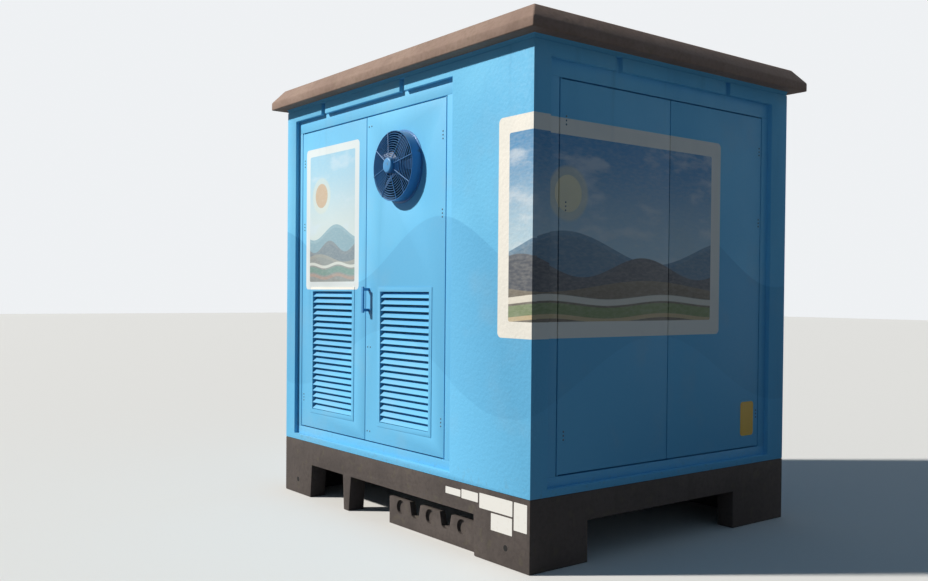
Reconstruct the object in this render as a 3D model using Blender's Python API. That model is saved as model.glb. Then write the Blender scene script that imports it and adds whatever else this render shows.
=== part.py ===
"""Precast concrete transformer kiosk on a raised plinth, with two double doors and a door fan.

Metres, +Z up. The origin is on the ground at the centre of the bounding box. The front with the
louvred doors and the fan faces -Y, the side with the plain double door faces +X.
"""
import math

import bpy
import bmesh
from mathutils import Matrix

# The concrete shell
LENGTH = 2.75
WIDTH = 2.26
WALL_THICKNESS = 0.11
WALL_HEIGHT = 2.42
FLOOR_THICKNESS = 0.042
CORNER_CHAMFER = 0.008
SEAM = 0.0003
OVERRUN = 0.02
LINTEL_HEIGHT = 0.079
NOTCH_WIDTH = 0.05
NOTCH_DEPTH = 0.03
FRONT_NOTCH_SHARES = (0.193, 0.552)
SIDE_NOTCH_SHARES = (0.285, 0.719)

# The roof slab
ROOF_OVERHANG = 0.09
ROOF_BEARING = 0.024
ROOF_FASCIA = 0.055
ROOF_BEVEL_RISE = 0.088
ROOF_BEVEL_RUN = 0.072
ROOF_CROWN = 0.02

# The plinth
PLINTH_HEIGHT = 0.395
PLINTH_BAND = 0.161
PLINTH_THICKNESS = 0.12
FRONT_LEG_FAR_WIDTH = 0.4
FRONT_RIB_SETOUT = 0.835
FRONT_RIB_WIDTH = 0.105
FRONT_LEG_NEAR_WIDTH = 0.477
SIDE_LEG_NEAR_WIDTH = 0.43
SIDE_LEG_FAR_WIDTH = 0.53
LEG_HOLE_RADIUS = 0.018
LEG_HOLE_DEPTH = 0.04
LEG_HOLE_HEIGHT = 0.103
LEG_HOLE_SETBACK = 0.195
ENTRY_PANEL_HEADROOM = 0.062
ENTRY_PANEL_SETOUT = 0.4027
ENTRY_PANEL_THICKNESS = 0.04
ENTRY_PANEL_SETBACK = 0.05
ENTRY_HOLE_RADIUS = 0.045
ENTRY_HOLE_DEPTH = 0.018
ENTRY_HOLE_PITCH = 0.158
ENTRY_HOLE_DROP = 0.051
ENTRY_HOLE_SETOUT = 0.17

# The doorways: widths of the concrete beside each opening, then the steel frame
FRONT_PIER_FAR_WIDTH = 0.13
FRONT_PIER_NEAR_WIDTH = 0.707
SIDE_PIER_NEAR_WIDTH = 0.124
SIDE_PIER_FAR_WIDTH = 0.166
FRAME_SETBACK = 0.03
FRAME_DEPTH = 0.06
FRAME_HEAD = 0.09
FRAME_SILL = 0.055
FRONT_JAMB_FAR = 0.05
FRONT_JAMB_NEAR = 0.087
SIDE_JAMB_NEAR = 0.085
SIDE_JAMB_FAR = 0.068
LEAF_GAP = 0.009
LEAF_MEETING_GAP = 0.008
LEAF_THICKNESS = 0.045
PIVOT_INSET = 0.008
PIVOT_RADIUS = 0.005
PIVOT_ENGAGEMENT = 0.006
PIVOT_CLEARANCE = 0.0004
PIVOT_HOLE_SPARE = 0.0015

# The louvre panels let into the two front leaves
LOUVRE_HEIGHT = 0.908
LOUVRE_BORDER = 0.029
LOUVRE_PROUD = 0.003
LOUVRE_SLATS = 20
SLAT_THICKNESS = 0.003
SLAT_DROP = 0.036
SLAT_DEPTH = 0.03
LOUVRE_RISE = 0.1067
LOUVRE_FAR_HINGE_MARGIN = 0.1337
LOUVRE_FAR_MEETING_MARGIN = 0.141
LOUVRE_NEAR_HINGE_MARGIN = 0.1277
LOUVRE_NEAR_MEETING_MARGIN = 0.147

# The fan on the near front leaf
FAN_OFFSET = 0.02635
FAN_DROP = 0.3647
DUCT_RADIUS = 0.219
DUCT_WALL = 0.007
DUCT_REACH = 0.068
FLANGE_WIDTH = 0.012
FLANGE_THICKNESS = 0.004
GUARD_THICKNESS = 0.004
GUARD_DISH = 0.02
GUARD_RINGS = 5
GUARD_ARMS = 6
GUARD_BAR = 0.007
MOTOR_RADIUS = 0.047
MOTOR_REACH = 0.115
MOTOR_LENGTH = 0.065
MOTOR_ROUND = 0.006
SHAFT_RADIUS = 0.012
SHAFT_CLEARANCE = 0.0005
SHAFT_LENGTH = 0.035
HUB_RADIUS = 0.055
HUB_LENGTH = 0.044
HUB_GAP = 0.006
BLADE_COUNT = 5
BLADE_RADIUS = 0.196
BLADE_ROOT = 0.047
BLADE_CHORD = 0.044
BLADE_TIP_CHORD = 0.085
BLADE_THICKNESS = 0.004
BLADE_PITCH = math.radians(32.0)

# The pull handle on the near front leaf
HANDLE_SETOUT = 0.032
HANDLE_RISE = 0.9317
HANDLE_LENGTH = 0.172
HANDLE_WIDTH = 0.022
HANDLE_DEPTH = 0.012
HANDLE_STANDOFF = 0.04
HANDLE_POST = 0.018

ROUND_SEGMENTS = 48
SMALL_SEGMENTS = 16
ENTRY_HOLE_SEGMENTS = 24

# Planes derived from the sizes above
front_y = -WIDTH / 2
back_y = WIDTH / 2
far_x = -LENGTH / 2
near_x = LENGTH / 2
band_z = PLINTH_HEIGHT - PLINTH_BAND
slab_z = PLINTH_HEIGHT + SEAM
floor_z = PLINTH_HEIGHT + FLOOR_THICKNESS
wall_z = floor_z + SEAM
eaves_z = PLINTH_HEIGHT + WALL_HEIGHT
lintel_z = eaves_z - LINTEL_HEIGHT

MATERIALS = {
    "concrete": ((0.19, 0.165, 0.15), 0.0, 0.9),
    "roof_concrete": ((0.36, 0.28, 0.22), 0.0, 0.9),
    "wall_paint": ((0.18, 0.5, 0.75), 0.0, 0.6),
    "door_paint": ((0.2, 0.54, 0.8), 0.0, 0.45),
    "fan_paint": ((0.02, 0.13, 0.36), 0.0, 0.4),
    "fan_plastic": ((0.03, 0.03, 0.035), 0.0, 0.5),
    "handle_paint": ((0.16, 0.48, 0.74), 0.0, 0.4),
}


def clear_scene():
    for obj in list(bpy.data.objects):
        bpy.data.objects.remove(obj, do_unlink=True)


def material(name):
    """The named Principled material, made once."""
    found = bpy.data.materials.get(name)
    if found:
        return found
    colour, metallic, roughness = MATERIALS[name]
    made = bpy.data.materials.new(name)
    made.use_nodes = True
    shader = made.node_tree.nodes["Principled BSDF"]
    shader.inputs["Base Color"].default_value = (*colour, 1.0)
    shader.inputs["Metallic"].default_value = metallic
    shader.inputs["Roughness"].default_value = roughness
    return made


def finish(name, shape, slot, origin=(0.0, 0.0, 0.0), smooth=False):
    """Turn a bmesh drawn in world coordinates into an object with its origin at the given point."""
    bmesh.ops.recalc_face_normals(shape, faces=shape.faces)
    bmesh.ops.translate(shape, verts=shape.verts, vec=[-value for value in origin])
    mesh = bpy.data.meshes.new(name)
    shape.to_mesh(mesh)
    shape.free()
    obj = bpy.data.objects.new(name, mesh)
    obj.location = origin
    bpy.context.scene.collection.objects.link(obj)
    if slot:
        mesh.materials.append(material(slot))
    if smooth:
        mesh.shade_smooth()
        mesh.set_sharp_from_angle(angle=math.radians(35.0))
    return obj


def add_loft(shape, rings):
    """Join closed rings of points into one capped skin."""
    loops = [[shape.verts.new(point) for point in ring] for ring in rings]
    count = len(loops[0])
    for lower, upper in zip(loops, loops[1:]):
        for i in range(count):
            j = (i + 1) % count
            shape.faces.new((lower[i], lower[j], upper[j], upper[i]))
    shape.faces.new(loops[0])
    shape.faces.new(loops[-1])


def rectangle(low_x, high_x, low_y, high_y, z):
    return [(low_x, low_y, z), (high_x, low_y, z), (high_x, high_y, z), (low_x, high_y, z)]


def add_box(shape, low, high):
    rings = [rectangle(low[0], high[0], low[1], high[1], z) for z in (low[2], high[2])]
    add_loft(shape, rings)


def box(name, low, high, slot, origin=None):
    shape = bmesh.new()
    add_box(shape, low, high)
    middle = [(a + b) / 2 for a, b in zip(low, high)]
    return finish(name, shape, slot, origin or middle)


def prism(name, outline, low_z, high_z, slot):
    """An upright prism; its origin is at the middle of its outline, at the lower end."""
    shape = bmesh.new()
    add_loft(shape, [[(x, y, z) for x, y in outline] for z in (low_z, high_z)])
    middle_x = sum(point[0] for point in outline) / len(outline)
    middle_y = sum(point[1] for point in outline) / len(outline)
    return finish(name, shape, slot, (middle_x, middle_y, low_z))


def chamfered(low_x, high_x, low_y, high_y, corners):
    """A rectangle's outline with the named corners cut off; a corner is a pair of signs."""
    outline = []
    for sign_x, sign_y in ((-1, -1), (1, -1), (1, 1), (-1, 1)):
        x = high_x if sign_x > 0 else low_x
        y = high_y if sign_y > 0 else low_y
        if (sign_x, sign_y) not in corners:
            outline.append((x, y))
            continue
        along_x = (x - sign_x * CORNER_CHAMFER, y)
        along_y = (x, y - sign_y * CORNER_CHAMFER)
        cut = (along_x, along_y) if sign_x * sign_y < 0 else (along_y, along_x)
        outline.extend(cut)
    return outline


def boolean(obj, tool, operation):
    """Apply an exact boolean and drop the tool."""
    bpy.context.view_layer.update()
    modifier = obj.modifiers.new(operation.lower(), "BOOLEAN")
    modifier.object = tool
    modifier.operation = operation
    modifier.solver = "EXACT"
    graph = bpy.context.evaluated_depsgraph_get()
    result = bpy.data.meshes.new_from_object(obj.evaluated_get(graph))
    obj.modifiers.clear()
    obj.data = result
    bpy.data.objects.remove(tool, do_unlink=True)


def cut_boxes(obj, boxes):
    shape = bmesh.new()
    for low, high in boxes:
        add_box(shape, low, high)
    boolean(obj, finish("cutter", shape, None), "DIFFERENCE")


def add_cylinder(shape, centre, direction, radius, length, segments):
    """A cylinder that starts at the centre and runs along one axis direction, such as -Y."""
    axis, sign = direction
    loop = []
    for i in range(segments):
        angle = math.tau * (i + 0.5) / segments
        loop.append((radius * math.cos(angle), radius * math.sin(angle)))
    rings = []
    for distance in (0.0, length):
        ring = []
        for first, second in loop:
            offset = [first, second]
            offset.insert("XYZ".index(axis), sign * distance)
            ring.append([base + step for base, step in zip(centre, offset)])
        rings.append(ring)
    add_loft(shape, rings)


def cut_cylinders(obj, cylinders):
    shape = bmesh.new()
    for centre, direction, radius, length, segments in cylinders:
        add_cylinder(shape, centre, direction, radius, length, segments)
    boolean(obj, finish("cutter", shape, None), "DIFFERENCE")


def turned(name, profile, centre, slot, closed):
    """Turn a profile of (radius, reach) about the -Y axis through the centre.

    An open profile starts and ends on the axis; a closed one is a ring's section.
    """
    shape = bmesh.new()
    columns = []
    for radius, reach in profile:
        if radius == 0.0:
            columns.append([shape.verts.new((centre[0], centre[1] - reach, centre[2]))] * ROUND_SEGMENTS)
            continue
        column = []
        for i in range(ROUND_SEGMENTS):
            angle = math.tau * i / ROUND_SEGMENTS
            x = centre[0] + radius * math.cos(angle)
            z = centre[2] + radius * math.sin(angle)
            column.append(shape.verts.new((x, centre[1] - reach, z)))
        columns.append(column)
    pairs = list(zip(columns, columns[1:]))
    if closed:
        pairs.append((columns[-1], columns[0]))
    for first, second in pairs:
        for i in range(ROUND_SEGMENTS):
            j = (i + 1) % ROUND_SEGMENTS
            corners = [first[i], first[j], second[j], second[i]]
            shape.faces.new(list(dict.fromkeys(corners)))
    return finish(name, shape, slot, centre, smooth=True)


def make_plinth():
    """Four bands on legs, with a rib and a cable-entry panel in the front."""
    inner_front = front_y + PLINTH_THICKNESS
    inner_back = back_y - PLINTH_THICKNESS
    inner_far = far_x + PLINTH_THICKNESS
    inner_near = near_x - PLINTH_THICKNESS
    leg_top = band_z - SEAM
    box("plinth_band_front", (far_x, front_y, band_z), (near_x, inner_front, PLINTH_HEIGHT), "concrete")
    box("plinth_wall_back", (far_x, inner_back, 0.0), (near_x, back_y, PLINTH_HEIGHT), "concrete")
    low = (inner_near, inner_front + SEAM, band_z)
    box("plinth_band_side", low, (near_x, inner_back - SEAM, PLINTH_HEIGHT), "concrete")
    low = (far_x, inner_front + SEAM, 0.0)
    box("plinth_wall_far", low, (inner_far, inner_back - SEAM, PLINTH_HEIGHT), "concrete")
    far_edge = far_x + FRONT_LEG_FAR_WIDTH
    near_edge = near_x - FRONT_LEG_NEAR_WIDTH
    legs = (("plinth_leg_far", far_x, far_edge, far_x + LEG_HOLE_SETBACK),
            ("plinth_leg_near", near_edge, near_x, near_x - LEG_HOLE_SETBACK))
    for name, low_x, high_x, hole_x in legs:
        leg = box(name, (low_x, front_y, 0.0), (high_x, inner_front, leg_top), "concrete")
        mouth = (hole_x, front_y - OVERRUN, LEG_HOLE_HEIGHT)
        cut_cylinders(leg, [(mouth, ("Y", 1), LEG_HOLE_RADIUS, LEG_HOLE_DEPTH + OVERRUN, SMALL_SEGMENTS)])
    rib_x = far_x + FRONT_RIB_SETOUT
    high = (rib_x + FRONT_RIB_WIDTH, inner_front, leg_top)
    box("plinth_rib", (rib_x, front_y, 0.0), high, "concrete")
    low = (inner_near, inner_front + SEAM, 0.0)
    high = (near_x, front_y + SIDE_LEG_NEAR_WIDTH, leg_top)
    box("plinth_side_leg_near", low, high, "concrete")
    low = (inner_near, back_y - SIDE_LEG_FAR_WIDTH, 0.0)
    box("plinth_side_leg_far", low, (near_x, inner_back - SEAM, leg_top), "concrete")
    make_entry_panel(rib_x + FRONT_RIB_WIDTH + ENTRY_PANEL_SETOUT, near_edge - SEAM)


def make_entry_panel(start_x, end_x):
    """A low upright panel in the front opening with a row of blind cable knock-outs."""
    face_y = front_y + ENTRY_PANEL_SETBACK
    top_z = band_z - ENTRY_PANEL_HEADROOM
    low = (start_x, face_y, 0.0)
    high = (end_x, face_y + ENTRY_PANEL_THICKNESS, top_z)
    panel = box("cable_entry_panel", low, high, "concrete")
    holes = []
    spaces = math.floor((end_x - start_x - ENTRY_HOLE_SETOUT) / ENTRY_HOLE_PITCH)
    for i in range(spaces + 1):
        x = end_x - ENTRY_HOLE_SETOUT - i * ENTRY_HOLE_PITCH
        mouth = (x, face_y - OVERRUN, top_z - ENTRY_HOLE_DROP)
        length = ENTRY_HOLE_DEPTH + OVERRUN
        holes.append((mouth, ("Y", 1), ENTRY_HOLE_RADIUS, length, ENTRY_HOLE_SEGMENTS))
    cut_cylinders(panel, holes)


def make_shell():
    """Floor slab, walls split beside and over the two doorways, and the roof."""
    corners = ((-1, -1), (1, -1), (1, 1), (-1, 1))
    outline = chamfered(far_x, near_x, front_y, back_y, corners)
    prism("floor_slab", outline, slab_z, floor_z, "wall_paint")
    inner_front = front_y + WALL_THICKNESS
    inner_back = back_y - WALL_THICKNESS
    inner_far = far_x + WALL_THICKNESS
    inner_near = near_x - WALL_THICKNESS
    doorway_far = far_x + FRONT_PIER_FAR_WIDTH
    doorway_near = near_x - FRONT_PIER_NEAR_WIDTH
    side_low = front_y + SIDE_PIER_NEAR_WIDTH
    side_high = back_y - SIDE_PIER_FAR_WIDTH
    outline = chamfered(far_x, doorway_far, front_y, inner_front, ((-1, -1),))
    prism("front_pier_far", outline, wall_z, eaves_z, "wall_paint")
    low = (doorway_near, front_y, wall_z)
    box("front_pier_near", low, (inner_near - SEAM, inner_front, eaves_z), "wall_paint")
    outline = chamfered(inner_near, near_x, front_y, side_low, ((1, -1),))
    prism("side_pier_near", outline, wall_z, eaves_z, "wall_paint")
    outline = chamfered(inner_near, near_x, side_high, back_y, ((1, 1),))
    prism("side_pier_far", outline, wall_z, eaves_z, "wall_paint")
    outline = chamfered(far_x, inner_far, inner_front + SEAM, back_y, ((-1, 1),))
    prism("wall_far", outline, wall_z, eaves_z, "wall_paint")
    low = (inner_far + SEAM, inner_back, wall_z)
    box("wall_back", low, (inner_near - SEAM, back_y, eaves_z), "wall_paint")
    low = (doorway_far + SEAM, front_y, lintel_z)
    lintel = box("front_lintel", low, (doorway_near - SEAM, inner_front, eaves_z), "wall_paint")
    notches = []
    for share in FRONT_NOTCH_SHARES:
        x = far_x + share * LENGTH
        low = (x - NOTCH_WIDTH / 2, front_y - OVERRUN, lintel_z - OVERRUN)
        notches.append((low, (x + NOTCH_WIDTH / 2, front_y + NOTCH_DEPTH, eaves_z + OVERRUN)))
    cut_boxes(lintel, notches)
    low = (inner_near, side_low + SEAM, lintel_z)
    lintel = box("side_lintel", low, (near_x, side_high - SEAM, eaves_z), "wall_paint")
    notches = []
    for share in SIDE_NOTCH_SHARES:
        y = front_y + share * WIDTH
        low = (near_x - NOTCH_DEPTH, y - NOTCH_WIDTH / 2, lintel_z - OVERRUN)
        notches.append((low, (near_x + OVERRUN, y + NOTCH_WIDTH / 2, eaves_z + OVERRUN)))
    cut_boxes(lintel, notches)
    make_roof()


def make_roof():
    """A slab that bears on the walls, with an eaves overhang, a bevel and a low crown."""
    shape = bmesh.new()
    low_z = eaves_z + SEAM
    eaves = low_z + ROOF_BEARING
    fascia = eaves + ROOF_FASCIA
    bevel = fascia + ROOF_BEVEL_RISE
    inset = ROOF_OVERHANG - ROOF_BEVEL_RUN
    steps = ((low_z, 0.0), (eaves, 0.0), (eaves, ROOF_OVERHANG), (fascia, ROOF_OVERHANG),
             (bevel, inset), (bevel + ROOF_CROWN, inset - WIDTH / 2 + ROOF_BEVEL_RUN))
    rings = []
    for z, out in steps:
        rings.append(rectangle(far_x - out, near_x + out, front_y - out, back_y + out, z))
    add_loft(shape, rings)
    finish("roof_slab", shape, "roof_concrete", (0.0, (front_y + back_y) / 2, low_z))


def pivot_points(opening, far_end):
    """The pivot axis of a leaf: inset from the leaf's outer edge and its front face."""
    return opening[0] + LEAF_GAP + PIVOT_INSET if far_end else opening[1] - LEAF_GAP - PIVOT_INSET


def make_front_doors():
    """Frame, two leaves with louvres, and on the near leaf the fan and the handle."""
    low_x = far_x + FRONT_PIER_FAR_WIDTH + SEAM
    high_x = near_x - FRONT_PIER_NEAR_WIDTH - SEAM
    face_y = front_y + FRAME_SETBACK
    inner_y = face_y + FRAME_DEPTH
    low_z = wall_z
    high_z = lintel_z - SEAM
    opening = (low_x + FRONT_JAMB_FAR, high_x - FRONT_JAMB_NEAR)
    clear = (low_z + FRAME_SILL, high_z - FRAME_HEAD)
    sill = box("front_frame_sill", (low_x, face_y, low_z), (high_x, inner_y, clear[0]), "door_paint")
    head = box("front_frame_head", (low_x, face_y, clear[1]), (high_x, inner_y, high_z), "door_paint")
    low = (low_x, face_y, clear[0] + SEAM)
    box("front_jamb_far", low, (opening[0], inner_y, clear[1] - SEAM), "door_paint")
    low = (opening[1], face_y, clear[0] + SEAM)
    box("front_jamb_near", low, (high_x, inner_y, clear[1] - SEAM), "door_paint")
    pivots = [(pivot_points(opening, True), face_y + PIVOT_INSET),
              (pivot_points(opening, False), face_y + PIVOT_INSET)]
    bore_frame(head, sill, clear, pivots)
    middle = (opening[0] + opening[1]) / 2
    back = face_y + LEAF_THICKNESS
    low = (opening[0] + LEAF_GAP, face_y, clear[0] + LEAF_GAP)
    high = (middle - LEAF_MEETING_GAP / 2, back, clear[1] - LEAF_GAP)
    far_leaf = make_leaf("front_leaf_far", low, high, pivots[0])
    span = (low[0] + LOUVRE_FAR_HINGE_MARGIN, high[0] - LOUVRE_FAR_MEETING_MARGIN)
    make_louvre("louvre_far", far_leaf, span, (face_y, low[2] + LOUVRE_RISE), pivots[0])
    low = (middle + LEAF_MEETING_GAP / 2, face_y, clear[0] + LEAF_GAP)
    high = (opening[1] - LEAF_GAP, back, clear[1] - LEAF_GAP)
    near_leaf = make_leaf("front_leaf_near", low, high, pivots[1])
    span = (low[0] + LOUVRE_NEAR_MEETING_MARGIN, high[0] - LOUVRE_NEAR_HINGE_MARGIN)
    make_louvre("louvre_near", near_leaf, span, (face_y, low[2] + LOUVRE_RISE), pivots[1])
    fan_x = (low[0] + high[0]) / 2 - FAN_OFFSET
    make_fan(near_leaf, (fan_x, face_y, high[2] - FAN_DROP))
    make_handle((low[0] + HANDLE_SETOUT, face_y, low[2] + HANDLE_RISE))


def make_side_doors():
    """Frame and two plain leaves."""
    low_y = front_y + SIDE_PIER_NEAR_WIDTH + SEAM
    high_y = back_y - SIDE_PIER_FAR_WIDTH - SEAM
    face_x = near_x - FRAME_SETBACK
    inner_x = face_x - FRAME_DEPTH
    low_z = wall_z
    high_z = lintel_z - SEAM
    opening = (low_y + SIDE_JAMB_NEAR, high_y - SIDE_JAMB_FAR)
    clear = (low_z + FRAME_SILL, high_z - FRAME_HEAD)
    sill = box("side_frame_sill", (inner_x, low_y, low_z), (face_x, high_y, clear[0]), "door_paint")
    head = box("side_frame_head", (inner_x, low_y, clear[1]), (face_x, high_y, high_z), "door_paint")
    low = (inner_x, low_y, clear[0] + SEAM)
    box("side_jamb_near", low, (face_x, opening[0], clear[1] - SEAM), "door_paint")
    low = (inner_x, opening[1], clear[0] + SEAM)
    box("side_jamb_far", low, (face_x, high_y, clear[1] - SEAM), "door_paint")
    pivots = [(face_x - PIVOT_INSET, pivot_points(opening, True)),
              (face_x - PIVOT_INSET, pivot_points(opening, False))]
    bore_frame(head, sill, clear, pivots)
    middle = (opening[0] + opening[1]) / 2
    back = face_x - LEAF_THICKNESS
    low = (back, opening[0] + LEAF_GAP, clear[0] + LEAF_GAP)
    high = (face_x, middle - LEAF_MEETING_GAP / 2, clear[1] - LEAF_GAP)
    make_leaf("side_leaf_near", low, high, pivots[0])
    low = (back, middle + LEAF_MEETING_GAP / 2, clear[0] + LEAF_GAP)
    high = (face_x, opening[1] - LEAF_GAP, clear[1] - LEAF_GAP)
    make_leaf("side_leaf_far", low, high, pivots[1])


def bore_frame(head, sill, clear, pivots):
    """Blind holes for the leaf pivots in the head and the sill."""
    radius = PIVOT_RADIUS + PIVOT_CLEARANCE
    length = PIVOT_ENGAGEMENT + PIVOT_HOLE_SPARE + OVERRUN
    ups = [((x, y, clear[1] - OVERRUN), ("Z", 1), radius, length, SMALL_SEGMENTS) for x, y in pivots]
    downs = [((x, y, clear[0] + OVERRUN), ("Z", -1), radius, length, SMALL_SEGMENTS) for x, y in pivots]
    cut_cylinders(head, ups)
    cut_cylinders(sill, downs)


def make_leaf(name, low, high, pivot):
    """A flush leaf with a pivot pin fused to its upper and its lower edge."""
    leaf = box(name, low, high, "door_paint", (pivot[0], pivot[1], low[2]))
    shape = bmesh.new()
    length = LEAF_GAP + PIVOT_ENGAGEMENT + OVERRUN
    ends = ((high[2] - OVERRUN, 1), (low[2] + OVERRUN, -1))
    for z, sign in ends:
        add_cylinder(shape, (*pivot, z), ("Z", sign), PIVOT_RADIUS, length, SMALL_SEGMENTS)
    boolean(leaf, finish("pins", shape, "door_paint"), "UNION")
    return leaf


def make_louvre(name, leaf, span, place, pivot):
    """A bordered panel of sloping slats let through the leaf, from one x to another."""
    face_y, low_z = place
    low = (span[0], face_y - LOUVRE_PROUD, low_z)
    high = (span[1], face_y + LEAF_THICKNESS, low_z + LOUVRE_HEIGHT)
    cut_low = (low[0] - SEAM, face_y - OVERRUN, low[2] - SEAM)
    cut_high = (high[0] + SEAM, high[1] + OVERRUN, high[2] + SEAM)
    cut_boxes(leaf, [(cut_low, cut_high)])
    panel = box(name, low, high, "door_paint", (pivot[0], pivot[1], low_z))
    hole_low = (low[0] + LOUVRE_BORDER, low[1] - OVERRUN, low[2] + LOUVRE_BORDER)
    hole_high = (high[0] - LOUVRE_BORDER, high[1] + OVERRUN, high[2] - LOUVRE_BORDER)
    cut_boxes(panel, [(hole_low, hole_high)])
    shape = bmesh.new()
    pitch = (hole_high[2] - hole_low[2]) / LOUVRE_SLATS
    outer_y = face_y
    inner_y = face_y + SLAT_DEPTH
    for i in range(LOUVRE_SLATS):
        z = hole_low[2] + i * pitch + (pitch - SLAT_DROP) / 2
        section = ((outer_y, z), (inner_y, z + SLAT_DROP - SLAT_THICKNESS),
                   (inner_y, z + SLAT_DROP), (outer_y, z + SLAT_THICKNESS))
        ends = (hole_low[0] - LOUVRE_BORDER / 2, hole_high[0] + LOUVRE_BORDER / 2)
        add_loft(shape, [[(x, y, height) for y, height in section] for x in ends])
    boolean(panel, finish("slats", shape, "door_paint"), "UNION")


def make_fan(leaf, centre):
    """Duct through the leaf, wire guard, motor carried by the guard, and the impeller behind it."""
    hole = (centre[0], centre[1] - OVERRUN, centre[2])
    length = LEAF_THICKNESS + OVERRUN + OVERRUN
    cut_cylinders(leaf, [(hole, ("Y", 1), DUCT_RADIUS + SEAM, length, ROUND_SEGMENTS)])
    inner = DUCT_RADIUS - DUCT_WALL
    flange = DUCT_RADIUS + FLANGE_WIDTH
    # The hole's flats are nearest the duct half-way between its corners, so the sleeve is a little smaller
    sleeve = (DUCT_RADIUS + SEAM) * math.cos(math.pi / ROUND_SEGMENTS) - SEAM
    profile = [(inner, -LEAF_THICKNESS), (sleeve, -LEAF_THICKNESS), (sleeve, SEAM), (flange, SEAM),
               (flange, SEAM + FLANGE_THICKNESS), (DUCT_RADIUS, SEAM + FLANGE_THICKNESS),
               (DUCT_RADIUS, DUCT_REACH), (inner, DUCT_REACH)]
    turned("fan_duct", profile, centre, "fan_paint", closed=True)
    make_guard(centre)
    motor_back = MOTOR_REACH - MOTOR_LENGTH
    shaft_end = motor_back - SHAFT_LENGTH
    profile = [(0.0, shaft_end), (SHAFT_RADIUS, shaft_end), (SHAFT_RADIUS, motor_back),
               (MOTOR_RADIUS, motor_back), (MOTOR_RADIUS, MOTOR_REACH - MOTOR_ROUND),
               (MOTOR_RADIUS - MOTOR_ROUND, MOTOR_REACH), (0.0, MOTOR_REACH)]
    turned("fan_motor", profile, centre, "fan_paint", closed=False)
    make_impeller(centre, motor_back - HUB_GAP, shaft_end - HUB_GAP)


def make_guard(centre):
    """Concentric rings joined by radial arms, dished forward from the duct's end to the motor."""
    rim = DUCT_REACH + SEAM
    middle = rim + GUARD_DISH
    bore = MOTOR_RADIUS + SEAM
    flat = bore + GUARD_BAR
    profile = [(bore, middle), (flat, middle), (DUCT_RADIUS, rim), (DUCT_RADIUS, rim + GUARD_THICKNESS),
               (flat, middle + GUARD_THICKNESS), (bore, middle + GUARD_THICKNESS)]
    guard = turned("fan_guard", profile, centre, "fan_paint", closed=True)
    shape = bmesh.new()
    step = (DUCT_RADIUS - flat) / GUARD_RINGS
    steps_per_arm = ROUND_SEGMENTS // GUARD_ARMS
    reaches = (rim - OVERRUN, middle + GUARD_THICKNESS + OVERRUN)
    for ring in range(GUARD_RINGS):
        low = flat + ring * step
        high = low + step - GUARD_BAR
        for arm in range(GUARD_ARMS):
            add_sector(shape, centre, (low, high), arm, steps_per_arm, reaches)
    boolean(guard, finish("sectors", shape, "fan_paint"), "DIFFERENCE")
    guard.data.shade_flat()


def add_sector(shape, centre, radii, arm, steps, reaches):
    """A block between two radii and two arms."""
    start = math.tau * arm / GUARD_ARMS
    end = math.tau * (arm + 1) / GUARD_ARMS
    outline = []
    for radius, order in ((radii[0], 1), (radii[1], -1)):
        margin = GUARD_BAR / 2 / radius
        points = []
        for i in range(steps + 1):
            angle = start + margin + (end - start - margin - margin) * i / steps
            points.append((radius * math.cos(angle), radius * math.sin(angle)))
        outline.extend(points[::order])
    rings = [[(centre[0] + x, centre[1] - reach, centre[2] + z) for x, z in outline] for reach in reaches]
    add_loft(shape, rings)


def make_impeller(centre, front, bottom):
    """A hub on the motor shaft with pitched blades that widen towards their tips."""
    back = front - HUB_LENGTH
    bore = SHAFT_RADIUS + SHAFT_CLEARANCE
    profile = [(0.0, back), (HUB_RADIUS, back), (HUB_RADIUS, front), (bore, front),
               (bore, bottom), (0.0, bottom)]
    hub = turned("fan_impeller", profile, centre, "fan_plastic", closed=False)
    shape = bmesh.new()
    middle = (front + back) / 2
    for i in range(BLADE_COUNT):
        rings = []
        for radius, chord in ((BLADE_ROOT, BLADE_CHORD), (BLADE_RADIUS, BLADE_TIP_CHORD)):
            half = chord / 2
            thick = BLADE_THICKNESS / 2
            ring = []
            for along, out in ((-half, -thick), (half, -thick), (half, thick), (-half, thick)):
                tangent = along * math.cos(BLADE_PITCH) - out * math.sin(BLADE_PITCH)
                depth = along * math.sin(BLADE_PITCH) + out * math.cos(BLADE_PITCH)
                ring.append((radius, -middle - depth, tangent))
            rings.append(ring)
        blade = bmesh.new()
        add_loft(blade, rings)
        turn = Matrix.Rotation(math.tau * i / BLADE_COUNT, 4, "Y")
        bmesh.ops.transform(blade, matrix=Matrix.Translation(centre) @ turn, verts=blade.verts)
        mesh = bpy.data.meshes.new("blade")
        blade.to_mesh(mesh)
        blade.free()
        shape.from_mesh(mesh)
        bpy.data.meshes.remove(mesh)
    boolean(hub, finish("blades", shape, "fan_plastic"), "UNION")
    hub.data.shade_flat()


def make_handle(centre):
    """An upright pull on two posts."""
    x, face_y, centre_z = centre
    half = HANDLE_LENGTH / 2
    face = face_y - SEAM
    grip = face - HANDLE_STANDOFF
    low = (x - HANDLE_WIDTH / 2, grip - HANDLE_DEPTH, centre_z - half)
    high = (x + HANDLE_WIDTH / 2, grip, centre_z + half)
    handle = box("door_handle", low, high, "handle_paint")
    shape = bmesh.new()
    for sign in (-1, 1):
        z = centre_z + sign * (half - HANDLE_POST)
        low = (x - HANDLE_POST / 2, grip - HANDLE_DEPTH / 2, z - HANDLE_POST / 2)
        add_box(shape, low, (x + HANDLE_POST / 2, face, z + HANDLE_POST / 2))
    boolean(handle, finish("posts", shape, "handle_paint"), "UNION")


def build():
    clear_scene()
    make_plinth()
    make_shell()
    make_front_doors()
    make_side_doors()


build()
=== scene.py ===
"""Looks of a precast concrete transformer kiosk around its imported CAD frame."""
import math

import bmesh
import bpy
from mathutils import Matrix, Vector


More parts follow.
